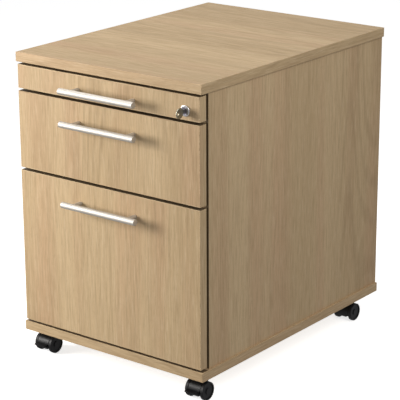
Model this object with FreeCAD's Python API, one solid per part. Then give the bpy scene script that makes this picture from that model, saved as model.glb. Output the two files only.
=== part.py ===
"""Rolling pedestal cabinet: a wood-board carcase on four twin-wheel casters, with a pencil
drawer, a box drawer and a hanging-file drawer, bar handles and one key that locks all three.

Shop frame, in millimetres: X is across, 0 on the centre line; Y runs back from the top panel's
front edge; Z is up from the floor. export() moves everything by SHIFT_Y, so that the finished
part has its origin on the floor, in the middle of its overall depth.
"""

import FreeCAD, Part

import os
from math import cos, radians, sin

Vector = FreeCAD.Vector

# ---------------------------------------------------------------- driving dimensions
WIDTH, DEPTH, HEIGHT = 428.0, 580.0, 590.0
CASTER_H = 47.0
BOARD = 18.0
EDGE = 2.0                  # edging strip on every board edge that shows
ARRIS = 0.8                 # rounding along the edging's corners
SIDE_INSET = 4.0            # top and bottom panels stand out past the sides by this
SIDE_FRONT = 24.0           # the side panels' front edge, clear of the fronts

FRONT_Y = 0.0               # the drawer fronts' outer face, flush with the top panel
FRONT_BACK = FRONT_Y + BOARD
BASE_TOP = CASTER_H + BOARD
TOP_UNDER = HEIGHT - BOARD
FRONT_HALF = WIDTH / 2 - SIDE_INSET
FRONTS = {                  # bottom and top of each front, and its handle's height
    "pencil": (523.0, 568.0, 540.0),
    "middle": (372.0, 518.2, 479.0),
    "file": (69.2, 367.2, 328.0),
}
INNER = FRONT_HALF - BOARD  # the side panels' inner face

HANDLE_HOLES = 128.0
HANDLE_LENGTH = 172.0
BAR_R = 6.0
BAR_Y = -26.0
POST_R = 4.0
HANDLE_SCREW_R = 2.0
HANDLE_SCREW_IN = 10.0      # how far the handle screw goes into the post
HANDLE_HEAD_R, HANDLE_HEAD_T = 4.0, 2.4
BAR_ROUND = 0.7             # rounding of the bar's ends

LOCK_X, LOCK_Z = 179.5, 540.0
LOCK_R, LOCK_DEEP = 8.5, 22.0
COLLAR_R, COLLAR_T, COLLAR_ROUND = 10.0, 3.0, 1.4
BARREL_SUNK = 0.6           # the barrel's face lies this far inside the collar
BARREL_R = 6.0
CAM_Y, CAM_T, CAM_R, ARM_HALF, ARM_REACH = 28.0, 2.0, 6.4, 3.5, 9.5
CAM_PIN_R, CAM_PIN_OUT, CAM_PIN_LENGTH = 1.2, 5.0, 8.0
CAM_PIN_SIDE = CAM_PIN_OUT * 0.5 ** 0.5   # the pin rests 45 degrees below the lock's centre
KEY_T, KEY_BLADE, KEY_IN = 1.8, 7.0, 18.0
KEY_PLAY = 0.1              # between the key's blade and its slot
KEY_CUTS = ((4.0, 1.6), (7.5, 0.9), (11.0, 2.0), (14.5, 1.2))   # place along the blade, depth
KEY_CUT_W = 1.6
BOW_R, BOW_Y, BOW_Z = 9.3, -16.5, LOCK_Z - 1.5
RING_HOLE_R, RING_HOLE_OUT = 2.6, 5.2
REACH = BAR_R - BAR_Y       # the handles are what stands out furthest

RAIL_Y = 40.0               # where every cabinet rail starts
SHEET = 1.5                 # steel sheet
SLIDE_Z = 130.0
RAIL_WEB = 3.0              # the plastic pencil rails' web
RAIL_SCREWS = {             # each cabinet rail's screw height and web thickness
    "pencil": (542.0, RAIL_WEB),
    "middle": (400.0, SHEET),
    "file": (SLIDE_Z, SHEET),
}
RAIL_SCREW_Y = (45.0, 330.0)
DRAWER_X = 179.5            # outer face of the two steel drawers' sides
WALL = 12.0                 # thickness of their folded side walls
MIDDLE_WALL_Z, MIDDLE_BACK_TOP = (388.0, 490.0), 478.0
FILE_WALL_Z, FILE_BACK_TOP = (84.0, 340.0), 320.0
TAB_WIDE, TAB_IN, TAB_SCREW_IN = 16.0, 18.0, 12.0
FLOOR_UP, FLOOR_BACK = 1.0, 4.0
FOLDER_LIP = 4.0            # the file drawer's inward flange, which hanging files hook on

TRAY_HALF, TRAY_WALL, TRAY_END = 180.0, 2.5, 420.0
TRAY_Z = (527.0, 556.0)
TRAY_LIP = (552.5, 555.5)   # the flange that the tray hangs by
TRAY_LIP_X = 188.0
TRAY_RIBS = (120.0, 290.0)  # cross walls between its three compartments
TRAY_SCREW_X, TRAY_SCREW_Z = (-150.0, 0.0, 130.0), LOCK_Z + 4.0
LOCK_NOTCH_X, LOCK_NOTCH_Y = 150.0, 38.0   # the tray leaves its front right corner to the lock
PENCIL_GROOVE_X, PENCIL_GROOVE_Z = 182.0, (552.2, 556.2)
PENCIL_RAIL_X, PENCIL_RAIL_Z = 183.0, (548.5, 559.5)
PENCIL_WEB_Z = (536.0, 549.0)

ROLLER_R, ROLLER_W, ROLLER_X = 9.8, 6.0, 182.5
ROLLER_PIN_R, ROLLER_ROUND = 2.5, 0.8
FRONT_ROLLER_IN, REAR_ROLLER_IN = 12.0, 15.0   # from the ends of rail and drawer
ROLLER_GAP = 0.15           # between the rollers and what they run on
CLEARANCE = 0.05            # radial, of every piece that turns on a pin
MIDDLE_CHANNEL = (385.0, 415.0)
MIDDLE_RUNNER = 406.7       # underside of the drawer's runner
MIDDLE_RUNNER_X = 188.5
MIDDLE_END = 470.0
FILE_END = 495.0
SLIDE_LENGTH = 450.0
PENCIL_RAIL_LENGTH = 400.0
RAIL_X = 181.0              # drawer side of the steel cabinet rails
FILE_RAIL_HALF, FILE_MIDDLE_HALF, FILE_INNER_HALF = 22.5, 19.0, 15.0
FILE_MIDDLE_X, FILE_INNER_X, SLIDE_SHEET = (183.0, 188.4), 186.4, 1.2

BAR_GUIDES = (90.0, 300.0, 500.0)
LOCK_BAR_Z = (72.0, 541.0)
LOCK_BAR_X, LOCK_BAR_Y = (189.0, 191.0), (31.0, 39.0)
FORK_Y, FORK_X, FORK_FOOT = (32.0, 33.5), 181.0, 529.0
STRIKER_X, STRIKER_Y = 186.5, (24.5, 27.0)
STRIKER_Z = (533.0, 551.5)
STRIKER_FOOT_X, STRIKER_FOOT_Y, STRIKER_FOOT_Z = 189.5, 36.0, (549.5, 567.0)
STRIKER_SCREW = (31.0, 561.0)
GUIDE_X, GUIDE_WALL, GUIDE_HALF, GUIDE_GAP = 187.0, 2.0, 6.0, 0.3
GUIDE_FOOT_X, GUIDE_FOOT_LONG, GUIDE_SCREW_OUT = 189.0, 11.0, 7.5
CATCHES = {"middle": 440.0, "file": 250.0}   # heights of the lock bar's catch pins
CATCH_PIN_R, CATCH_PIN_X = 3.0, 180.6
CATCH_X, CATCH_Y, CATCH_ABOVE, CATCH_TALL = 186.0, (41.0, 43.0), 2.0, 15.0
FORK_PLAY = 0.35

WHEEL_R, HUB_R = 17.5, 10.0
HUB_IN, DISC_IN, WHEEL_OUT = 6.8, 13.3, 20.5    # distances out from the caster's middle
WHEEL_ROUND = 1.3
DISH_R, DISH_BOSS_R, DISH_DEEP = 14.4, 6.2, 1.5
AXLE_SHORT = 1.6            # the axle ends this far inside the wheels' outer faces
BORE_SHORT = 1.2
TRAIL = 16.0                # from the swivel axis forward to the axle
AXLE_R = 2.5
HOOD_R, HOOD_INNER_R, HOOD_HALF = 17.3, 15.4, 12.9
HOOD_FRONT, HOOD_REAR = 20.0, 35.0   # degrees: below level in front, above level behind
WEB_HALF, WEB_R, WEB_FOOT = 6.2, 15.6, 7.5
NECK_Z = (20.0, 34.0)
KINGPIN_R, KINGPIN_FOOT = 3.5, 22.4
RACE_R, RACE_Z, RACE_ROUND = 13.0, (38.0, 41.0), 0.8
CUP_R, CUP_FOOT = 12.0, 41.4
PEDAL_REACH = 28.3          # from the axle to the brake pedal's tip
PEDAL_GAP = 0.9             # between the pedal and the hood
PEDAL_ROOT, PEDAL_TIP = 2.8, (2.1, 0.8)   # heights above the axle, and the root's depth below
LEVER_HALF, LEVER_HUB_R, LEVER_NECK = 3.0, 5.0, 2.2
LEVER_SIDE_GAP, LEVER_HUB_GAP, LEVER_SWING = 0.3, 0.5, (-7.5, 3.0)
PLATE, PLATE_T, PLATE_HOLES, PLATE_ROUND = 38.0, 2.5, 13.5, 5.0
CASTER_X, CASTER_IN = 183.0, 46.5
CASTERS = {
    "front_left": (-CASTER_X, CASTER_IN),
    "front_right": (CASTER_X, CASTER_IN),
    "rear_left": (-CASTER_X, DEPTH - CASTER_IN),
    "rear_right": (CASTER_X, DEPTH - CASTER_IN),
}
SCREW_R, SCREW_HEAD_R, SCREW_HEAD_T, SCREW_IN = 1.8, 3.4, 1.4, 12.0
SCREW_ROUND, HANDLE_HEAD_ROUND = 0.84, 0.8
DOWEL_R, DOWEL_HALF = 4.0, 12.0
DOWEL_Y, DOWEL_Z = (70.0, 300.0, 510.0), (150.0, 320.0, 490.0)
PAST = 1.0                  # how far a cutting shape runs past what it cuts

SHIFT_Y = (REACH - DEPTH) / 2

X, Y, Z = Vector(1, 0, 0), Vector(0, 1, 0), Vector(0, 0, 1)


# ---------------------------------------------------------------- helpers
def box(x, y, z):
    """A box from three (low, high) pairs."""
    size = [hi - lo for lo, hi in (x, y, z)]
    return Part.makeBox(*size, Vector(x[0], y[0], z[0]))


def rod(radius, start, length, along):
    return Part.makeCylinder(radius, length, Vector(*start), along)


def tube(outer, inner, start, length, along):
    return rod(outer, start, length, along).cut(rod(inner, start, length, along))


def both_sides(shape):
    """The shape and its mirror image across the centre line."""
    return [shape, shape.mirror(Vector(0, 0, 0), X)]


def join(shapes):
    whole = shapes[0]
    for shape in shapes[1:]:
        whole = whole.fuse(shape)
    return whole.removeSplitter()


def round_ends(shape, radius):
    """Rounds a rod's two ends."""
    return shape.makeFillet(radius, [e for e in shape.Edges if len(e.Vertexes) == 1])


def drill(shape, holes):
    for hole in holes:
        shape = shape.cut(hole)
    return shape


def export(name, *shapes):
    """Writes one node. Several shapes stay separate solids in it."""
    solids = [solid for shape in shapes for solid in shape.Solids]
    node = Part.makeCompound(solids)
    node.translate(Vector(0, SHIFT_Y, 0))
    node.exportStep(f"parts/{name}.step")


def edged_board(x, y, z, across):
    """A board and the strip glued round its edges. across is 0, 1 or 2: the axis of its thickness."""
    core = [
        limits if axis == across else (limits[0] + EDGE, limits[1] - EDGE)
        for axis, limits in enumerate((x, y, z))
    ]
    whole = box(x, y, z)
    rounded = whole.makeFillet(ARRIS, whole.Edges)
    return box(*core), rounded.cut(box(*core))


def screw(point, along):
    """A wood screw: its head's underside at point, its shank running along."""
    head = rod(SCREW_HEAD_R, point, SCREW_HEAD_T, -along)
    head = head.makeFillet(SCREW_ROUND, [head.Edges[0]])
    return join([head, shank(point, along)])


def shank(point, along, length=SCREW_IN):
    return rod(SCREW_R, point, length, along)


# ---------------------------------------------------------------- carcase
def dowels():
    """Upright ones between the side panels and the slabs, level ones from sides into back."""
    middle = INNER + BOARD / 2
    upright = [
        rod(DOWEL_R, (side * middle, y, z - DOWEL_HALF), 2 * DOWEL_HALF, Z)
        for side in (-1, 1)
        for z in (BASE_TOP, TOP_UNDER)
        for y in DOWEL_Y
    ]
    level = [
        rod(DOWEL_R, (side * (INNER - DOWEL_HALF), DEPTH - BOARD / 2, z), 2 * DOWEL_HALF, X * side)
        for side in (-1, 1)
        for z in DOWEL_Z
    ]
    return upright + level


def right_rail_screws(name):
    """The two screws of a right-hand cabinet rail. Its left-hand twin mirrors them."""
    z, thickness = RAIL_SCREWS[name]
    return [((INNER - thickness, RAIL_Y + y, z), X) for y in RAIL_SCREW_Y]


def rail_screw_places():
    right = [place for name in RAIL_SCREWS for place in right_rail_screws(name)]
    left = [((-x, y, z), -X) for (x, y, z), _ in right]
    return right + left


def plate_screw_places(x, y):
    """The four screws of the caster plate at x, y."""
    return [
        ((x + dx, y + dy, CASTER_H - PLATE_T), Z)
        for dx in (-PLATE_HOLES, PLATE_HOLES)
        for dy in (-PLATE_HOLES, PLATE_HOLES)
    ]


def caster_screw_places():
    return [place for x, y in CASTERS.values() for place in plate_screw_places(x, y)]


def guide_screw_places():
    """One screw holds each lock bar guide, and one the striker."""
    y = LOCK_BAR_Y[1] + GUIDE_SCREW_OUT
    guides = [((GUIDE_FOOT_X, y, z), X) for z in BAR_GUIDES]
    return [*guides, ((STRIKER_FOOT_X, *STRIKER_SCREW), X)]


def carcase():
    holes = dowels()
    side_screws = [shank(p, d) for p, d in rail_screw_places() + guide_screw_places()]
    base_screws = [shank(p, d) for p, d in caster_screw_places()]
    slab_x, slab_y = (-WIDTH / 2, WIDTH / 2), (0.0, DEPTH)
    top, top_edge = edged_board(slab_x, slab_y, (TOP_UNDER, HEIGHT), 2)
    base, base_edge = edged_board(slab_x, slab_y, (CASTER_H, BASE_TOP), 2)
    back = box((-INNER, INNER), (DEPTH - BOARD, DEPTH), (BASE_TOP, TOP_UNDER))
    side = box(
        (INNER, FRONT_HALF), (SIDE_FRONT + EDGE, DEPTH - EDGE), (BASE_TOP, TOP_UNDER)
    )
    strips = []
    for outer_y, y in (
        (SIDE_FRONT, (SIDE_FRONT, SIDE_FRONT + EDGE)),
        (DEPTH, (DEPTH - EDGE, DEPTH)),
    ):
        strip = box((INNER, FRONT_HALF), y, (BASE_TOP, TOP_UNDER))
        arrises = [
            e for e in strip.Edges
            if abs(e.CenterOfMass.y - outer_y) < ARRIS and e.BoundBox.ZLength > BOARD
        ]
        strips += both_sides(strip.makeFillet(ARRIS, arrises))
    right, left = both_sides(side)
    export("top_panel", drill(top, holes))
    export("bottom_panel", drill(base, holes + base_screws))
    export("side_panel_left", drill(left, holes + side_screws))
    export("side_panel_right", drill(right, holes + side_screws))
    export("back_panel", drill(back, holes))
    export("carcase_edging", top_edge, base_edge, *strips)
    export("wooden_dowels", *dowels())
    places = rail_screw_places() + guide_screw_places() + caster_screw_places()
    export("carcase_screws", *[screw(p, d) for p, d in places])


# ---------------------------------------------------------------- handles and fronts
def handle_screw_places(z):
    return [(side * HANDLE_HOLES / 2, FRONT_BACK, z) for side in (-1, 1)]


def handle_screw(point):
    head = rod(HANDLE_HEAD_R, point, HANDLE_HEAD_T, Y)
    head = head.makeFillet(HANDLE_HEAD_ROUND, [head.Edges[2]])
    length = BOARD + HANDLE_SCREW_IN
    return join([head, rod(HANDLE_SCREW_R, point, length, -Y)])


def handle(name, z):
    bar = rod(BAR_R, (-HANDLE_LENGTH / 2, BAR_Y, z), HANDLE_LENGTH, X)
    bar = round_ends(bar, BAR_ROUND)
    post = rod(POST_R, (HANDLE_HOLES / 2, BAR_Y, z), FRONT_Y - BAR_Y, Y)
    hole = rod(
        HANDLE_SCREW_R,
        (HANDLE_HOLES / 2, FRONT_Y - HANDLE_SCREW_IN, z),
        HANDLE_SCREW_IN,
        Y,
    )
    post = post.cut(bar).cut(hole)
    export(f"{name}_handle", bar, *both_sides(post))


def front(name, more_holes=()):
    low, high, handle_z = FRONTS[name]
    x = (-FRONT_HALF, FRONT_HALF)
    core, edging = edged_board(x, (FRONT_Y, FRONT_BACK), (low, high), 1)
    holes = [
        rod(HANDLE_SCREW_R, (px, FRONT_Y, pz), BOARD, Y)
        for px, py, pz in handle_screw_places(handle_z)
    ]
    export(f"{name}_front", drill(core, holes + list(more_holes)))
    export(f"{name}_front_edging", edging)
    handle(name, handle_z)


# ---------------------------------------------------------------- pencil drawer and its lock
def tray():
    """Floor, walls, ribs and hanging lips, each its own solid, so that each is convex."""
    low, high = TRAY_Z
    floor_top = low + TRAY_WALL
    front_y = FRONT_BACK + TRAY_WALL
    inner = TRAY_HALF - TRAY_WALL
    notch_x = LOCK_NOTCH_X - TRAY_WALL
    notch_y = LOCK_NOTCH_Y + TRAY_WALL
    upright = (floor_top, high)
    heads = [
        rod(HANDLE_HEAD_R + PAST, (x, FRONT_BACK, z), TRAY_WALL, Y)
        for x, y, z in handle_screw_places(FRONTS["pencil"][2])
    ]
    fixings = [rod(SCREW_R, p, TRAY_WALL, Y) for p in tray_screw_places(FRONT_BACK)]
    front_wall = box((-inner, LOCK_NOTCH_X), (FRONT_BACK, front_y), upright)
    solids = [
        box((-TRAY_HALF, LOCK_NOTCH_X), (FRONT_BACK, TRAY_END), (low, floor_top)),
        box((LOCK_NOTCH_X, TRAY_HALF), (LOCK_NOTCH_Y, TRAY_END), (low, floor_top)),
        drill(front_wall, heads + fixings),
        box((-TRAY_HALF, -inner), (FRONT_BACK, TRAY_END), upright),
        box((inner, TRAY_HALF), (LOCK_NOTCH_Y, TRAY_END), upright),
        box((notch_x, LOCK_NOTCH_X), (front_y, notch_y), upright),
        box((LOCK_NOTCH_X, inner), (LOCK_NOTCH_Y, notch_y), upright),
        box((-inner, inner), (TRAY_END - TRAY_WALL, TRAY_END), upright),
        *both_sides(box((TRAY_HALF, TRAY_LIP_X), (RAIL_Y, TRAY_END), TRAY_LIP)),
    ]
    half = TRAY_WALL / 2
    solids += [box((-inner, inner), (y - half, y + half), upright) for y in TRAY_RIBS]
    export("pencil_tray", *solids)


def tray_screw_places(y):
    return [(x, y, TRAY_SCREW_Z) for x in TRAY_SCREW_X]


def pencil_rail():
    """The right-hand rail: a groove for the tray's lip above a web that takes the screws."""
    y = (RAIL_Y, RAIL_Y + PENCIL_RAIL_LENGTH)
    groove_x = (PENCIL_GROOVE_X, INNER - RAIL_WEB)
    groove = box(groove_x, (y[0] - PAST, y[1] + PAST), PENCIL_GROOVE_Z)
    grooved = box((PENCIL_RAIL_X, INNER), y, PENCIL_RAIL_Z).cut(groove)
    web = box((INNER - RAIL_WEB, INNER), y, PENCIL_WEB_Z)
    return drill(join([grooved, web]), [shank(p, d) for p, d in right_rail_screws("pencil")])


def lock_and_key():
    collar = rod(COLLAR_R, (LOCK_X, FRONT_Y - COLLAR_T, LOCK_Z), COLLAR_T, Y)
    rim = [e for e in collar.Edges if e.BoundBox.YMax < FRONT_Y - COLLAR_T / 2]
    collar = collar.makeFillet(COLLAR_ROUND, rim)
    sleeve = rod(LOCK_R, (LOCK_X, FRONT_Y, LOCK_Z), LOCK_DEEP, Y)
    bore_length = COLLAR_T + LOCK_DEEP + 2 * PAST
    bore = rod(
        BARREL_R + CLEARANCE, (LOCK_X, FRONT_Y - COLLAR_T - PAST, LOCK_Z), bore_length, Y
    )
    export("lock_housing", join([collar, sleeve]).cut(bore))

    face_y = FRONT_Y - COLLAR_T + BARREL_SUNK
    key_end = face_y + KEY_IN
    half_t, half_blade = KEY_T / 2, KEY_BLADE / 2
    barrel = rod(BARREL_R, (LOCK_X, face_y, LOCK_Z), CAM_Y - face_y, Y)
    keyway = box(
        (LOCK_X - half_t - KEY_PLAY, LOCK_X + half_t + KEY_PLAY),
        (face_y - PAST, key_end + PAST),
        (LOCK_Z - half_blade - KEY_PLAY, LOCK_Z + half_blade + KEY_PLAY),
    )
    cam = rod(CAM_R, (LOCK_X, CAM_Y, LOCK_Z), CAM_T, Y)
    arm = box(
        (LOCK_X - ARM_HALF, LOCK_X + ARM_HALF),
        (CAM_Y, CAM_Y + CAM_T),
        (LOCK_Z - ARM_REACH, LOCK_Z),
    )
    pin_at = (LOCK_X + CAM_PIN_SIDE, CAM_Y, LOCK_Z - CAM_PIN_SIDE)
    pin = rod(CAM_PIN_R, pin_at, CAM_PIN_LENGTH, Y)
    export("lock_barrel_and_cam", barrel.cut(keyway), join([cam, arm, pin]))

    x = (LOCK_X - half_t, LOCK_X + half_t)
    past_x = (x[0] - PAST, x[1] + PAST)
    bow = round_ends(rod(BOW_R, (x[0], BOW_Y, BOW_Z), KEY_T, X), half_t / 2)
    blade = box(x, (BOW_Y, key_end), (LOCK_Z - half_blade, LOCK_Z + half_blade))
    foot = LOCK_Z - half_blade
    cuts = [
        box(past_x, (face_y + y, face_y + y + KEY_CUT_W), (foot - PAST, foot + deep))
        for y, deep in KEY_CUTS
    ]
    ring_hole = rod(
        RING_HOLE_R, (past_x[0], BOW_Y - RING_HOLE_OUT, BOW_Z), KEY_T + 2 * PAST, X
    )
    export("key", drill(join([bow, blade]), [*cuts, ring_hole]))


def pencil_drawer():
    lock_hole = rod(LOCK_R, (LOCK_X, FRONT_Y, LOCK_Z), BOARD, Y)
    fixings = [(p, -Y) for p in tray_screw_places(FRONT_BACK + TRAY_WALL)]
    shanks = [shank(p, d) for p, d in fixings]
    front("pencil", [lock_hole, *shanks])
    tray()
    export("pencil_cabinet_rails", *both_sides(pencil_rail()))
    screws = [handle_screw(p) for p in handle_screw_places(FRONTS["pencil"][2])]
    export("pencil_drawer_screws", *screws, *[screw(p, d) for p, d in fixings])
    lock_and_key()


# ---------------------------------------------------------------- steel drawers
def folded_wall(y, z, tab_z):
    """The right-hand side of a steel drawer: a folded double wall, and the tab that screws to
    the front."""
    inner = DRAWER_X - WALL
    wall = box((inner, DRAWER_X), y, z)
    hollow = box(
        (inner + SHEET, DRAWER_X - SHEET),
        (y[0] - PAST, y[1] + PAST),
        (z[0] - PAST, z[1] - SHEET),
    )
    tab = box((inner - TAB_WIDE, inner + SHEET), (y[0], y[0] + SHEET), tab_z)
    return join([wall.cut(hollow), tab])


def catch(name):
    """What the lock bar's pin stops. It is welded to the drawer's right side."""
    low = CATCHES[name] + CATCH_PIN_R + CATCH_ABOVE
    return box((DRAWER_X, CATCH_X), CATCH_Y, (low, low + CATCH_TALL))


def tab_screw_places(tab_z):
    x = DRAWER_X - WALL - TAB_WIDE / 2
    return [
        ((side * x, FRONT_BACK + SHEET, z), -Y)
        for side in (-1, 1)
        for z in (tab_z[0] + TAB_SCREW_IN, tab_z[1] - TAB_SCREW_IN)
    ]


def steel_drawer(name, end, wall_z, back_top, fused, welded):
    """Front, side walls, back and bottom. fused is part of each wall's sheet. welded shapes are
    solids of their own on each wall, as its runner is."""
    tab_z = (wall_z[0] + TAB_IN, wall_z[1] - TAB_IN)
    fixings = tab_screw_places(tab_z)
    holes = [shank(p, d) for p, d in fixings]
    front(name, holes)
    inner = DRAWER_X - WALL
    wall = join([folded_wall((FRONT_BACK, end), wall_z, tab_z), *fused])
    right, left = both_sides(wall)
    export(f"{name}_side_right", drill(right, holes), *welded, catch(name))
    left_welds = [both_sides(shape)[1] for shape in welded]
    export(f"{name}_side_left", drill(left, holes), *left_welds)
    floor = (wall_z[0] + FLOOR_UP, wall_z[0] + FLOOR_UP + SHEET)
    export(f"{name}_bottom", box((-inner, inner), (FRONT_BACK + FLOOR_BACK, end), floor))
    back_z = (floor[1], back_top)
    export(f"{name}_back", box((-inner, inner), (end - SHEET, end), back_z))
    screws = [handle_screw(p) for p in handle_screw_places(FRONTS[name][2])]
    export(f"{name}_drawer_screws", *screws, *[screw(p, d) for p, d in fixings])


def channel(x, y, z, web_at_cabinet, thick=SHEET):
    """A right-hand C profile. Its web is on the cabinet side, or on the drawer side."""
    hollow_x = (x[0] - PAST, x[1] - thick) if web_at_cabinet else (x[0] + thick, x[1] + PAST)
    hollow = box(hollow_x, (y[0] - PAST, y[1] + PAST), (z[0] + thick, z[1] - thick))
    return box(x, y, z).cut(hollow)


def roller(y):
    body = round_ends(rod(ROLLER_R, (ROLLER_X, y, ROLLER_Z), ROLLER_W, X), ROLLER_ROUND)
    bore = rod(
        ROLLER_PIN_R + CLEARANCE, (ROLLER_X - PAST, y, ROLLER_Z), ROLLER_W + 2 * PAST, X
    )
    return body.cut(bore)


ROLLER_Z = MIDDLE_RUNNER - ROLLER_R - ROLLER_GAP
FRONT_ROLLER_Y = RAIL_Y + FRONT_ROLLER_IN
REAR_ROLLER_Y = MIDDLE_END - REAR_ROLLER_IN


def middle_drawer():
    rail_y = (RAIL_Y, RAIL_Y + SLIDE_LENGTH)
    rail = channel((RAIL_X, INNER), rail_y, MIDDLE_CHANNEL, True)
    front_pin = rod(
        ROLLER_PIN_R, (ROLLER_X, FRONT_ROLLER_Y, ROLLER_Z), INNER - ROLLER_X, X
    )
    holes = [shank(p, d) for p, d in right_rail_screws("middle")]
    export("middle_cabinet_rails", *both_sides(drill(join([rail, front_pin]), holes)))
    runner = box(
        (DRAWER_X, MIDDLE_RUNNER_X),
        (RAIL_Y, MIDDLE_END),
        (MIDDLE_RUNNER, MIDDLE_RUNNER + SHEET),
    )
    rear_pin = rod(
        ROLLER_PIN_R, (DRAWER_X, REAR_ROLLER_Y, ROLLER_Z), ROLLER_X + ROLLER_W - DRAWER_X, X
    )
    welded = [runner, rear_pin]
    steel_drawer("middle", MIDDLE_END, MIDDLE_WALL_Z, MIDDLE_BACK_TOP, [], welded)
    export("middle_cabinet_rollers", *both_sides(roller(FRONT_ROLLER_Y)))
    export("middle_drawer_rollers", *both_sides(roller(REAR_ROLLER_Y)))


def about_slide(half):
    return (SLIDE_Z - half, SLIDE_Z + half)


def file_drawer():
    y = (RAIL_Y, RAIL_Y + SLIDE_LENGTH)
    outer = channel((RAIL_X, INNER), y, about_slide(FILE_RAIL_HALF), True)
    middle = channel(FILE_MIDDLE_X, y, about_slide(FILE_MIDDLE_HALF), True, SLIDE_SHEET)
    inner_x = (DRAWER_X, FILE_INNER_X)
    inner = channel(inner_x, y, about_slide(FILE_INNER_HALF), False, SLIDE_SHEET)
    holes = [shank(p, d) for p, d in right_rail_screws("file")]
    export("file_cabinet_rails", *both_sides(drill(outer, holes)))
    export("file_slide_intermediates", *both_sides(middle))
    export("file_drawer_rails", *both_sides(inner))
    wall_in, top = DRAWER_X - WALL, FILE_WALL_Z[1]
    lip = box(
        (wall_in - FOLDER_LIP, wall_in + SHEET),
        (FRONT_BACK + SHEET, FILE_END),
        (top - SHEET, top),
    )
    steel_drawer("file", FILE_END, FILE_WALL_Z, FILE_BACK_TOP, [lip], [])


# ---------------------------------------------------------------- lock bar
def lock_bar():
    """A flat bar with a fork that the cam's pin lifts, and a pin in front of each catch."""
    web = box(LOCK_BAR_X, LOCK_BAR_Y, LOCK_BAR_Z)
    pin_z = LOCK_Z - CAM_PIN_SIDE
    gap = CAM_PIN_R + FORK_PLAY
    head = box((FORK_X, LOCK_BAR_X[0]), FORK_Y, (FORK_FOOT, LOCK_BAR_Z[1]))
    slot = box(
        (FORK_X - PAST, LOCK_X + CAM_PIN_OUT + gap),
        (FORK_Y[0] - PAST, FORK_Y[1] + PAST),
        (pin_z - gap, pin_z + gap),
    )
    middle_y = sum(LOCK_BAR_Y) / 2
    pins = [
        rod(CATCH_PIN_R, (CATCH_PIN_X, middle_y, z), LOCK_BAR_X[0] - CATCH_PIN_X, X)
        for z in CATCHES.values()
    ]
    export("lock_bar", web, head.cut(slot), *pins)
    export("lock_bar_guides", *[guide(z) for z in BAR_GUIDES], striker())


def guide(z):
    """A block on the right side panel that the lock bar slides through."""
    y0, y1 = LOCK_BAR_Y
    tall = (z - GUIDE_HALF, z + GUIDE_HALF)
    block = box((GUIDE_X, INNER), (y0 - GUIDE_WALL, y1 + GUIDE_WALL), tall)
    foot_y = (y1 + GUIDE_WALL, y1 + GUIDE_WALL + GUIDE_FOOT_LONG)
    slot = box(
        (LOCK_BAR_X[0] - GUIDE_GAP, LOCK_BAR_X[1] + GUIDE_GAP),
        (y0 - GUIDE_GAP, y1 + GUIDE_GAP),
        (tall[0] - PAST, tall[1] + PAST),
    )
    whole = join([block, box((GUIDE_FOOT_X, INNER), foot_y, tall)]).cut(slot)
    return drill(whole, [shank(p, d) for p, d in guide_screw_places()])


def striker():
    """What the cam's arm turns behind, which holds the pencil drawer shut."""
    post = box((STRIKER_X, INNER), STRIKER_Y, STRIKER_Z)
    foot = box((STRIKER_FOOT_X, INNER), (STRIKER_Y[0], STRIKER_FOOT_Y), STRIKER_FOOT_Z)
    return drill(join([post, foot]), [shank(p, d) for p, d in guide_screw_places()])


# ---------------------------------------------------------------- casters
def prism(points, x):
    """A prism along X from an outline of (y, z) points."""
    corners = [Vector(x[0], y, z) for y, z in points]
    face = Part.Face(Part.makePolygon([*corners, corners[0]]))
    return face.extrude(Vector(x[1] - x[0], 0, 0))


def caster_plate(x, y):
    """The plate under the base, and the kingpin that the caster turns on."""
    half, foot = PLATE / 2, CASTER_H - PLATE_T
    plate = box((x - half, x + half), (y - half, y + half), (foot, CASTER_H))
    corners = [e for e in plate.Edges if e.BoundBox.ZLength > PLATE_T / 2]
    plate = plate.makeFillet(PLATE_ROUND, corners)
    cup = rod(CUP_R, (x, y, CUP_FOOT), foot - CUP_FOOT, Z)
    kingpin = rod(KINGPIN_R, (x, y, KINGPIN_FOOT), CASTER_H - KINGPIN_FOOT, Z)
    holes = [shank(p, d) for p, d in plate_screw_places(x, y)]
    return [drill(join([plate, cup]), [kingpin, *holes]), kingpin]


def hood_sector(x, axle_y):
    """The part of the hood's ring that is there: from low in front, over the top, to behind."""
    far = 2 * HOOD_R
    front, rear = radians(HOOD_FRONT), radians(HOOD_REAR)
    outline = [
        (0.0, 0.0), (-far * cos(front), -far * sin(front)), (-far, far), (far, far),
        (far * cos(rear), far * sin(rear)),
    ]
    points = [(axle_y + y, WHEEL_R + z) for y, z in outline]
    return prism(points, (x - HOOD_HALF, x + HOOD_HALF))


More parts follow.
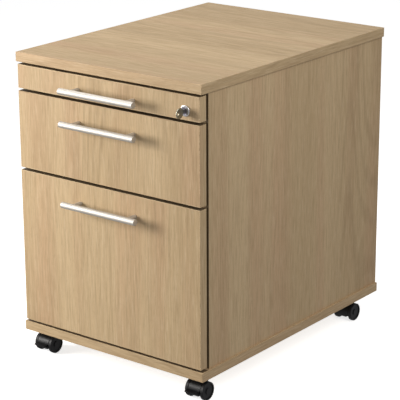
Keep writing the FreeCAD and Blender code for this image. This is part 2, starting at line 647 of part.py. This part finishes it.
def caster_body(x, y, braked):
    axle_y = y - TRAIL
    shell = tube(HOOD_R, HOOD_INNER_R, (x - HOOD_HALF, axle_y, WHEEL_R), 2 * HOOD_HALF, X)
    web = rod(WEB_R, (x - WEB_HALF, axle_y, WHEEL_R), 2 * WEB_HALF, X)
    below = box((x - HOOD_R, x + HOOD_R), (axle_y - HOOD_R, axle_y + HOOD_R), (0.0, WEB_FOOT))
    neck = box((x - WEB_HALF, x + WEB_HALF), (axle_y, y), NECK_Z)
    boss = rod(WEB_HALF, (x, y, NECK_Z[0]), RACE_Z[0] - NECK_Z[0], Z)
    race = rod(RACE_R, (x, y, RACE_Z[0]), RACE_Z[1] - RACE_Z[0], Z)
    solid = join([
        shell.common(hood_sector(x, axle_y)), web.cut(below), neck, boss,
        round_ends(race, RACE_ROUND),
    ])
    pin_top = RACE_Z[1] + PAST
    pin_foot = KINGPIN_FOOT - CLEARANCE
    holes = [
        rod(KINGPIN_R + CLEARANCE, (x, y, pin_foot), pin_top - pin_foot, Z),
        rod(AXLE_R, (x - WHEEL_OUT, axle_y, WHEEL_R), 2 * WHEEL_OUT, X),
    ]
    if braked:
        pocket = LEVER_HALF + LEVER_SIDE_GAP
        swing = [WHEEL_R + z for z in LEVER_SWING]
        holes += [
            box((x - pocket, x + pocket), (axle_y - HOOD_R - PAST, axle_y), swing),
            rod(LEVER_HUB_R + LEVER_HUB_GAP, (x - pocket, axle_y, WHEEL_R), 2 * pocket, X),
        ]
    return drill(solid, holes)


def wheel(x, y, side):
    """One wheel: a dished disc beyond the hood, on a hub under it. side is -1 or 1."""
    axle_y = y - TRAIL

    def turned(radius, near, far):
        return rod(radius, (x + side * near, axle_y, WHEEL_R), far - near, X * side)

    disc = round_ends(turned(WHEEL_R, DISC_IN, WHEEL_OUT), WHEEL_ROUND)
    body = join([disc, turned(HUB_R, HUB_IN, DISC_IN)])
    dish = turned(DISH_R, WHEEL_OUT - DISH_DEEP, WHEEL_OUT + PAST)
    dish = dish.cut(turned(DISH_BOSS_R, WHEEL_OUT - DISH_DEEP, WHEEL_OUT + PAST))
    bore = turned(AXLE_R + CLEARANCE, HUB_IN - PAST, WHEEL_OUT - BORE_SHORT)
    return drill(body, [dish, bore])


def brake_lever(x, y):
    """A pedal as wide as the hood. Its neck goes through a slot in the hood to the axle."""
    axle_y = y - TRAIL
    near = HOOD_R + PEDAL_GAP
    tip_high, tip_low = PEDAL_TIP
    outline = [
        (-near, PEDAL_ROOT), (-PEDAL_REACH, tip_high), (-PEDAL_REACH, tip_low),
        (-near, -PEDAL_ROOT),
    ]
    points = [(axle_y + y, WHEEL_R + z) for y, z in outline]
    pedal = prism(points, (x - HOOD_HALF, x + HOOD_HALF))
    neck = box(
        (x - LEVER_HALF, x + LEVER_HALF),
        (axle_y - near - PAST, axle_y),
        (WHEEL_R - LEVER_NECK, WHEEL_R + LEVER_NECK),
    )
    hub = rod(LEVER_HUB_R, (x - LEVER_HALF, axle_y, WHEEL_R), 2 * LEVER_HALF, X)
    bore = rod(AXLE_R + CLEARANCE, (x - LEVER_HUB_R, axle_y, WHEEL_R), 2 * LEVER_HUB_R, X)
    return join([pedal, neck, hub]).cut(bore)


def casters():
    plates = []
    for name, (x, y) in CASTERS.items():
        plates += caster_plate(x, y)
        braked = name.startswith("front")
        export(f"caster_body_{name}", caster_body(x, y, braked))
        half = WHEEL_OUT - AXLE_SHORT
        axle = rod(AXLE_R, (x - half, y - TRAIL, WHEEL_R), 2 * half, X)
        export(f"caster_axle_{name}", axle)
        export(f"caster_wheel_{name}_l", wheel(x, y, -1))
        export(f"caster_wheel_{name}_r", wheel(x, y, 1))
        if braked:
            export(f"brake_lever_{name}", brake_lever(x, y))
    export("caster_plates", *plates)


def main():
    os.makedirs("parts", exist_ok=True)
    carcase()
    pencil_drawer()
    middle_drawer()
    file_drawer()
    lock_bar()
    casters()


main()
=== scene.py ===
"""The looks of the rolling pedestal cabinet: oak-effect boards, satin bar handles, a chrome lock,
black casters, powder-coated drawers. Lengths are in metres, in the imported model's frame."""

from collections import namedtuple
from functools import reduce
from math import cos, radians, sin

import bpy
from mathutils import Matrix, Vector


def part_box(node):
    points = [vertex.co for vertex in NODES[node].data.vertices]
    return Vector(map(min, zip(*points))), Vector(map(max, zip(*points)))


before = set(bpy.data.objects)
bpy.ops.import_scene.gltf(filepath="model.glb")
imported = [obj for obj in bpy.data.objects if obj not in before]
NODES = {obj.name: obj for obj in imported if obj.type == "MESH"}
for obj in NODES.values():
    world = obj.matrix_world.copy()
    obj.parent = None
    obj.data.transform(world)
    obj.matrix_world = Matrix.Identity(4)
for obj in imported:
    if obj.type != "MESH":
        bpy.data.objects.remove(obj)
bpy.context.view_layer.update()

# ---------------------------------------------------------------- node sockets
UNIT = (0.0, 1.0)
RANGE_LIMITS = ("From Min", "From Max", "To Min", "To Max")
FIRST, SECOND = 0, 1                                # the two operands of a maths node
MIX_FACTOR, MIX_A, MIX_B, MIX_RESULT = 0, 6, 7, 2   # what a Mix node uses for colours
Noise = namedtuple("Noise", "scale detail roughness", defaults=(2.0, 0.5))      # scale per metre

# ---------------------------------------------------------------- camera
CAMERA_PLACE = (1.9102, -2.4773, 1.2716)
CAMERA_TURN = (-37.662, 17.635, -0.261)      # azimuth, pitch down and roll, in degrees
CAMERA_LENS, SENSOR = 153.39, 36.0           # in millimetres
CLIP_NEAR, CLIP_FAR = 0.05, 50.0


def make_camera():
    azimuth, pitch, roll = (radians(angle) for angle in CAMERA_TURN)
    ahead = Vector((sin(azimuth) * cos(pitch), cos(azimuth) * cos(pitch), -sin(pitch)))
    level = Vector((cos(azimuth), -sin(azimuth), 0))
    up = level.cross(ahead)
    right = cos(roll) * level + sin(roll) * up
    up = -sin(roll) * level + cos(roll) * up
    data = bpy.data.cameras.new("camera")
    data.lens, data.sensor_width = CAMERA_LENS, SENSOR
    data.clip_start, data.clip_end = CLIP_NEAR, CLIP_FAR
    camera = bpy.data.objects.new("camera", data)
    bpy.context.scene.collection.objects.link(camera)
    turn = Matrix((right, up, -ahead)).transposed().to_4x4()
    camera.matrix_world = Matrix.Translation(CAMERA_PLACE) @ turn
    bpy.context.scene.camera = camera


# ---------------------------------------------------------------- light and floor
# Soft boxes: place, aim, size in metres, watts, colour.
KEY_LIGHT = ((-1.15, -1.25, 0.75), (0.0, -0.25, 0.38), 0.7, 27.5, (1.0, 0.965, 0.92))
TOP_LIGHT = ((-0.60, -0.10, 1.75), (-0.05, 0.0, 0.55), 0.9, 7.5, (1.0, 0.97, 0.93))
RIGHT_LIGHT = ((1.55, -0.35, 1.55), (0.0, 0.0, 0.35), 1.0, 12.3, (1.0, 0.98, 0.96))
FILL_LIGHT, SEEN_LIGHT = 0.257, 1.0     # the world's strength as light, and for the camera
# As a reflected ray's direction goes from the first slope to the second, the world that it
# meets goes from the first strength to the second. A slope is z of the unit direction.
REFLECTED_SLOPES, REFLECTED_STRENGTHS = (-0.35, 0.45), (0.42, 0.80)
WHITE = (1, 1, 1, 1)
FLOOR_COLOR, FLOOR_ROUGHNESS = (0.93, 0.93, 0.93), 0.9
FLOOR_HALF, FLOOR_GLOW = 12.0, 0.73


def soft_box(name, place, aim, size, watts, color):
    data = bpy.data.lights.new(name, "AREA")
    data.energy, data.size, data.color = watts, size, color
    light = bpy.data.objects.new(name, data)
    bpy.context.scene.collection.objects.link(light)
    light.location = place
    light.rotation_mode = "QUATERNION"
    light.rotation_quaternion = (Vector(aim) - Vector(place)).to_track_quat("-Z", "Y")
    light.visible_camera = False


def make_light():
    soft_box("key", *KEY_LIGHT)
    soft_box("top", *TOP_LIGHT)
    soft_box("right", *RIGHT_LIGHT)
    world = bpy.data.worlds.new("studio")
    world.use_nodes = True
    tree = world.node_tree
    background = tree.nodes["Background"]
    background.inputs["Color"].default_value = WHITE
    path = tree.nodes.new("ShaderNodeLightPath")
    glossy = tree.nodes.new("ShaderNodeMix")
    glossy.inputs["A"].default_value = FILL_LIGHT
    direction = tree.nodes.new("ShaderNodeNewGeometry")
    height = tree.nodes.new("ShaderNodeSeparateXYZ")
    rise = tree.nodes.new("ShaderNodeMapRange")
    for limit, value in zip(RANGE_LIMITS, (*REFLECTED_SLOPES, *REFLECTED_STRENGTHS)):
        rise.inputs[limit].default_value = value
    tree.links.new(direction.outputs["Position"], height.inputs[0])
    tree.links.new(height.outputs["Z"], rise.inputs["Value"])
    tree.links.new(rise.outputs["Result"], glossy.inputs["B"])
    seen = tree.nodes.new("ShaderNodeMix")
    seen.inputs["B"].default_value = SEEN_LIGHT
    tree.links.new(path.outputs["Is Glossy Ray"], glossy.inputs["Factor"])
    tree.links.new(path.outputs["Is Camera Ray"], seen.inputs["Factor"])
    tree.links.new(glossy.outputs["Result"], seen.inputs["A"])
    tree.links.new(seen.outputs["Result"], background.inputs["Strength"])
    bpy.context.scene.world = world
    bpy.context.scene.view_settings.view_transform = "Standard"


def make_floor():
    mesh = bpy.data.meshes.new("floor")
    h = FLOOR_HALF
    mesh.from_pydata([(-h, -h, 0), (h, -h, 0), (h, h, 0), (-h, h, 0)], [], [(0, 1, 2, 3)])
    floor = bpy.data.objects.new("floor", mesh)
    bpy.context.scene.collection.objects.link(floor)
    pale = Graph("pale_floor", FLOOR_COLOR, FLOOR_ROUGHNESS, specular=0.0)
    pale.set("Emission Color", WHITE)
    pale.set("Emission Strength", FLOOR_GLOW)
    mesh.materials.append(pale.material)
    # Its glow would light the object from below and be reflected in it.
    floor.visible_diffuse = False
    floor.visible_glossy = False


# ---------------------------------------------------------------- material helpers
FACING = 0.7                # a face looks along an axis when its normal goes this far along it
NOISE_SPAN = (0.3, 0.7)     # the range that a noise mostly keeps to


class Graph:
    """A material's node tree. add() makes a node and sets or links its inputs."""

    def __init__(self, name, color, roughness, metallic=0.0, specular=0.5):
        self.material = bpy.data.materials.new(name)
        self.material.use_nodes = True
        self.tree = self.material.node_tree
        self.bsdf = self.tree.nodes["Principled BSDF"]
        self.set("Base Color", (*color, 1))
        self.set("Roughness", roughness)
        self.set("Metallic", metallic)
        self.set("Specular IOR Level", specular)

    def set(self, name, value):
        self.put(self.bsdf.inputs[name], value)

    def put(self, socket, value):
        if isinstance(value, bpy.types.NodeSocket):
            self.tree.links.new(value, socket)
        else:
            socket.default_value = value

    def add(self, kind, inputs, **settings):
        node = self.tree.nodes.new("ShaderNode" + kind)
        for name, value in settings.items():
            setattr(node, name, value)
        for name, value in inputs.items():
            self.put(node.inputs[name], value)
        return node

    def place(self):
        return self.add("TexCoord", {}).outputs["Object"]

    def parts(self, vector):
        return self.add("SeparateXYZ", {"Vector": vector}).outputs

    def normal(self):
        return self.parts(self.add("NewGeometry", {}).outputs["True Normal"])

    def math(self, operation, a, b=0.0):
        node = self.add("Math", {FIRST: a, SECOND: b}, operation=operation)
        return node.outputs[0]

    def product(self, *values):
        return reduce(lambda a, b: self.math("MULTIPLY", a, b), values)

    def beyond(self, value, limit):
        """1 where the value is past the limit, to either side of zero."""
        return self.math("GREATER_THAN", self.math("ABSOLUTE", value), limit)

    def between(self, value, low, high):
        """1 where the value lies between the two limits."""
        above = self.math("GREATER_THAN", value, low)
        return self.product(above, self.math("LESS_THAN", value, high))

    def times(self, vector, factors):
        node = self.add("VectorMath", {FIRST: vector, SECOND: factors}, operation="MULTIPLY")
        return node.outputs[0]

    def plus(self, vector, offset):
        node = self.add("VectorMath", {FIRST: vector, SECOND: offset}, operation="ADD")
        return node.outputs[0]

    def noise(self, vector, kind):
        inputs = {"Vector": vector, "Scale": kind.scale}
        inputs.update({"Detail": kind.detail, "Roughness": kind.roughness})
        return self.add("TexNoise", inputs).outputs["Fac"]

    def ramp(self, value, span, to=UNIT):
        """The value's place in the span, clamped, as a place between the two ends of to."""
        inputs = dict(zip(RANGE_LIMITS, (*span, *to)))
        return self.add("MapRange", {"Value": value, **inputs}, clamp=True).outputs["Result"]

    def mix(self, factor, a, b):
        inputs = {MIX_FACTOR: factor, MIX_A: a, MIX_B: b}
        return self.add("Mix", inputs, data_type="RGBA").outputs[MIX_RESULT]

    def bump(self, height, distance, strength):
        inputs = {"Height": height, "Distance": distance, "Strength": strength}
        self.set("Normal", self.add("Bump", inputs).outputs[0])


# ---------------------------------------------------------------- wood
OAK_LIGHT = (0.670, 0.495, 0.290, 1)
OAK_MIDDLE = (0.580, 0.420, 0.238, 1)
OAK_DARK = (0.330, 0.215, 0.110, 1)
OAK_PINK = (0.585, 0.378, 0.222, 1)
OAK_FIBRE = (0.760, 0.600, 0.390, 1)
OAK_PAINTED_SHADE, GAP_PAINTED_SHADE = (0.045, 0.027, 0.013, 1), 0.78   # painted shade for faces that line a gap, and how far those faces are taken to it
OAK_SPECULAR = 0.25
PLAIN_ROUGHNESS = 0.5               # the socket's own value, which the streaks replace
OAK_ROUGHNESS = (0.46, 0.60)        # what the streaks give
OAK_RELIEF, OAK_BUMP = 0.00012, 0.5         # distance in metres, and strength
STREAK_RELIEF = 0.5                         # height of the streaks, beside 1 for the pores
# How the coordinates along the grain are scaled, which draws streaks and growth rings out.
STREAK_DRAW, RING_DRAW = 1 / 22, 1 / 5
# A pattern has a noise, the span of the noise over which the pattern comes in, and how far it
# takes the colour to its own.
Pattern = namedtuple("Pattern", "noise span depth")
TONES = Pattern(Noise(8.0), (0.38, 0.62), 1.0)
WARMTH = Pattern(Noise(14.0, 1.0), (0.50, 0.66), 0.60)
BANDS = Pattern(Noise(36.0), (0.46, 0.72), 0.20)
ARCHES = Pattern(Noise(6.0, 0.0), (0.46, 0.62), 0.27)
STREAKS = Pattern(Noise(340.0, 4.0, 0.62), (0.44, 0.70), 0.46)
FIBRES = Pattern(Noise(520.0, 3.0, 0.6), (0.50, 0.68), 0.42)
PORES = Pattern(Noise(1500.0), (0.60, 0.68), 0.40)
RING_NOISE, RING_COUNT = Noise(5.0, 1.0, 0.35), 170.0
# Offsets that keep patterns and boards from lining up with each other.
SEED_STEP = (3.71, 1.93, 5.37)
WARMTH_FROM, ARCHES_FROM, FIBRES_FROM = (7.0, 2.0, 4.0), (1.0, 9.0, 3.0), (5.0, 3.0, 8.0)


def drawn(axis, ratio):
    return tuple(ratio if letter == axis else 1.0 for letter in "XYZ")


def share(graph, noise, pattern):
    return graph.ramp(noise, pattern.span, (0.0, pattern.depth))


def oak(graph, streak, ring, seed, shade=None):
    """Printed oak: broad tones, bands, growth rings that show as arches, streaks and pores.
    streak and ring are the coordinate scales that draw each pattern out along the grain."""
    start = tuple(step * seed for step in SEED_STEP)
    grain = graph.plus(graph.times(graph.place(), streak), start)
    rings_at = graph.plus(graph.times(graph.place(), ring), start)
    tones = graph.noise(grain, TONES.noise)
    color = graph.mix(share(graph, tones, TONES), OAK_LIGHT, OAK_MIDDLE)
    warmth = graph.noise(graph.plus(grain, WARMTH_FROM), WARMTH.noise)
    color = graph.mix(share(graph, warmth, WARMTH), color, OAK_PINK)
    bands = graph.noise(grain, BANDS.noise)
    color = graph.mix(share(graph, bands, BANDS), color, OAK_DARK)
    wave = graph.product(graph.noise(rings_at, RING_NOISE), RING_COUNT)
    rings = graph.ramp(graph.math("SINE", wave), UNIT)
    heart = graph.ramp(graph.noise(graph.plus(rings_at, ARCHES_FROM), ARCHES.noise), ARCHES.span)
    color = graph.mix(graph.product(rings, heart, ARCHES.depth), color, OAK_DARK)
    streaks = graph.noise(grain, STREAKS.noise)
    color = graph.mix(share(graph, streaks, STREAKS), color, OAK_DARK)
    fibres = graph.noise(graph.plus(grain, FIBRES_FROM), FIBRES.noise)
    color = graph.mix(share(graph, fibres, FIBRES), color, OAK_FIBRE)
    pores = graph.ramp(graph.noise(grain, PORES.noise), PORES.span)
    color = graph.mix(graph.product(pores, PORES.depth), color, OAK_DARK)
    # Painted shade: faces that line a gap are darkened as if in shadow.
    if shade:
        color = graph.mix(graph.product(shade, GAP_PAINTED_SHADE), color, OAK_PAINTED_SHADE)
    graph.set("Base Color", color)
    graph.set("Roughness", graph.ramp(streaks, NOISE_SPAN, OAK_ROUGHNESS))
    height = graph.math("SUBTRACT", graph.product(streaks, STREAK_RELIEF), pores)
    graph.bump(height, OAK_RELIEF, OAK_BUMP)


def oak_graph(name):
    return Graph(name, OAK_MIDDLE[:3], PLAIN_ROUGHNESS, specular=OAK_SPECULAR)


def board(name, along, seed, gap=None):
    """A board whose grain runs along an axis. Where gap is given, as a (near, far) place along
    Y, the strip of its upper face between the two is painted dark, as painted shade in the gap."""
    graph = oak_graph(name)
    shade = None
    if gap:
        upper = graph.math("GREATER_THAN", graph.normal()["Z"], FACING)
        # painted shade on the strip of the upper face that lies in the gap
        shade = graph.product(upper, graph.between(graph.parts(graph.place())["Y"], *gap))
    oak(graph, drawn(along, STREAK_DRAW), drawn(along, RING_DRAW), seed, shade)
    return graph.material


def carcase_edging(name, seed, upright, gap_from):
    """Edging whose grain runs along each strip: along Y at the sides, up between the two
    heights of upright, and along X elsewhere. The outer part of the upright strips' front
    faces, past gap_from to either side, is painted dark, as painted shade in the gaps beside the
    fronts."""
    graph = oak_graph(name)
    normal = graph.normal()
    at = graph.parts(graph.place())
    to_side = graph.beyond(normal["X"], FACING)
    inside = graph.between(at["Z"], *upright)
    scales = []
    for ratio in (STREAK_DRAW, RING_DRAW):
        across, back, up = ((*drawn(axis, ratio), 1) for axis in "XYZ")
        scales.append(graph.mix(inside, graph.mix(to_side, across, back), up))
    to_front = graph.math("LESS_THAN", normal["Y"], -FACING)
    # painted shade on the outer part of the upright strips' front faces
    oak(graph, *scales, seed, graph.product(graph.beyond(at["X"], gap_from), to_front, inside))
    return graph.material


def front_edging(name, seed):
    """Edging whose grain runs along each strip: up at the sides, and along X elsewhere. The
    faces that look up or down are painted dark, as painted shade in the gaps between the fronts."""
    graph = oak_graph(name)
    normal = graph.normal()
    to_side = graph.beyond(normal["X"], FACING)
    scales = []
    for ratio in (STREAK_DRAW, RING_DRAW):
        across, up = ((*drawn(axis, ratio), 1) for axis in "XZ")
        scales.append(graph.mix(to_side, across, up))
    # painted shade on the faces that look up or down
    oak(graph, *scales, seed, graph.beyond(normal["Z"], FACING))
    return graph.material


# ---------------------------------------------------------------- metals and plastics
ROUGHNESS_BELOW, ROUGHNESS_ABOVE = 0.06, 0.08      # how far roughness strays from its value
FINE = (3.0, 0.6)                                  # a fine grain's detail and roughness
BRUSH, BRUSH_SHARE, BRUSH_DRAW, BRUSH_RELIEF = Noise(2600.0, *FINE), 0.7, 1 / 12, 0.00003
WEAR, WEAR_SHARE = Noise(60.0, 3.0), 0.3
ZINC_COLOR, ZINC_PLAIN_ROUGHNESS, ZINC_ROUGHNESS = (0.62, 0.63, 0.65), 0.34, (0.28, 0.44)
ZINC_LIGHT, ZINC_DARK = (0.66, 0.67, 0.68, 1), (0.50, 0.51, 0.54, 1)
ZINC_GRAIN, ZINC_RELIEF, ZINC_BUMP = Noise(900.0, 3.0), 0.00004, 0.3
SPANGLE_SCALE, SPANGLE_DEPTH = 420.0, 0.35
CLOUDS, CLOUD_DARK, CLOUD_LIGHT = Noise(35.0), 0.82, 1.18
PLASTIC_BUMP = 0.6


def stray(roughness):
    return roughness - ROUGHNESS_BELOW, roughness + ROUGHNESS_ABOVE


def metal(name, color, roughness, brushed=None, grain=0.1):
    """Metal with fine marks, drawn out along the brushed axis, and broad wear."""
    graph = Graph(name, color, roughness, metallic=1.0)
    fine = graph.noise(graph.times(graph.place(), drawn(brushed, BRUSH_DRAW)), BRUSH)
    worn = graph.product(graph.noise(graph.place(), WEAR), WEAR_SHARE)
    spread = graph.math("ADD", graph.product(fine, BRUSH_SHARE), worn)
    graph.set("Roughness", graph.ramp(spread, NOISE_SPAN, stray(roughness)))
    graph.bump(fine, BRUSH_RELIEF, grain)
    return graph.material


def zinc(name):
    """Zinc-plated steel with its faint spangle."""
    graph = Graph(name, ZINC_COLOR, ZINC_PLAIN_ROUGHNESS, metallic=1.0)
    cells = graph.add("TexVoronoi", {"Vector": graph.place(), "Scale": SPANGLE_SCALE})
    tint = graph.ramp(cells.outputs["Color"], UNIT, (0.0, SPANGLE_DEPTH))
    graph.set("Base Color", graph.mix(tint, ZINC_LIGHT, ZINC_DARK))
    fine = graph.noise(graph.place(), ZINC_GRAIN)
    graph.set("Roughness", graph.ramp(fine, NOISE_SPAN, ZINC_ROUGHNESS))
    graph.bump(fine, ZINC_RELIEF, ZINC_BUMP)
    return graph.material


def plastic(name, color, roughness, grain_scale=1500.0, relief=0.00005, specular=0.5):
    """Plastic or paint with a fine grain and a faint cloudiness."""
    graph = Graph(name, color, roughness, specular=specular)
    fine = graph.noise(graph.place(), Noise(grain_scale, *FINE))
    dark, light = ((*(part * tone for part in color), 1) for tone in (CLOUD_DARK, CLOUD_LIGHT))
    graph.set("Base Color", graph.mix(graph.noise(graph.place(), CLOUDS), dark, light))
    graph.set("Roughness", graph.ramp(fine, NOISE_SPAN, stray(roughness)))
    graph.bump(fine, relief, PLASTIC_BUMP)
    return graph.material


# ---------------------------------------------------------------- which node looks like what
UPRIGHT_MARGIN = 0.0002     # the upright edging is taken to end this far from the panels
FRONT_MARGIN = 0.001        # the painted shade strip under the file front starts this far before it
PAINTED_SHADE_WIDTH = 0.0055         # width of the painted shade on each side's front edge, from the outside


def dress(materials):
    for name, material in materials.items():
        mesh = NODES[name].data
        mesh.materials.clear()
        mesh.materials.append(material)


def dress_all():
    base_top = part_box("bottom_panel")[1].z
    top_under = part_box("top_panel")[0].z
    upright = (base_top + UPRIGHT_MARGIN, top_under - UPRIGHT_MARGIN)
    # where the painted shade on the sides' front edges begins
    gap_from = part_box("side_panel_right")[1].x - PAINTED_SHADE_WIDTH
    # the strip of the base's top that gets painted shade under the file front
    painted_shade_under_front = (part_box("file_front")[0].y - FRONT_MARGIN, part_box("file_front")[1].y)
    satin = metal("satin_aluminium", (0.56, 0.535, 0.495), roughness=0.60, brushed="X")
    chrome = metal("polished_chrome", (0.70, 0.69, 0.71), roughness=0.12, grain=0.02)
    steel = zinc("zinc_steel")
    coat = plastic(
        "powder_coat", (0.055, 0.056, 0.060), roughness=0.42, grain_scale=2200.0, relief=0.00006
    )
    tyre = plastic("wheel_plastic", (0.008, 0.008, 0.009), roughness=0.48, specular=0.30)
    hood = plastic("caster_plastic", (0.007, 0.007, 0.008), roughness=0.42, specular=0.30)
    tray = plastic(
        "tray_plastic", (0.030, 0.030, 0.032), roughness=0.50, grain_scale=1100.0, relief=0.00008
    )
    nylon = plastic("roller_plastic", (0.70, 0.69, 0.66), roughness=0.40)
    looks = {
        "top_panel": board("oak_top", "X", 1),
        "bottom_panel": board("oak_base", "X", 2, painted_shade_under_front),
        "side_panel_left": board("oak_left", "Z", 3),
        "side_panel_right": board("oak_right", "Z", 4),
        "back_panel": board("oak_back", "Z", 5),
        "pencil_front": board("oak_pencil", "Z", 6),
        "middle_front": board("oak_middle", "Z", 7),
        "file_front": board("oak_file", "Z", 8),
        "carcase_edging": carcase_edging("oak_carcase_edging", 9, upright, gap_from),
        "wooden_dowels": board("beech", "Z", 10),
        "key": metal("key_steel", (0.36, 0.35, 0.28), roughness=0.36),
        "lock_housing": chrome,
        "lock_barrel_and_cam": metal(
            "lock_barrel_steel", (0.26, 0.24, 0.30), roughness=0.22, grain=0.02
        ),
        "pencil_tray": tray,
        "pencil_cabinet_rails": tray,
        "lock_bar_guides": tray,
    }
    for drawer, seed in (("pencil", 6), ("middle", 7), ("file", 8)):
        looks[f"{drawer}_front_edging"] = front_edging(f"oak_{drawer}_edging", seed)
        looks[f"{drawer}_handle"] = satin
    by_word = (
        ("wheel", tyre), ("caster_body", hood), ("brake", hood), ("rollers", nylon),
        ("rails", steel), ("intermediates", steel), ("screws", steel), ("axle", steel),
        ("plates", steel), ("lock_bar", steel),
    )
    for name in NODES:
        if name not in looks:
            looks[name] = next((m for word, m in by_word if word in name), coat)
    dress(looks)


# ---------------------------------------------------------------- the whole
make_camera()
make_light()
make_floor()
dress_all()
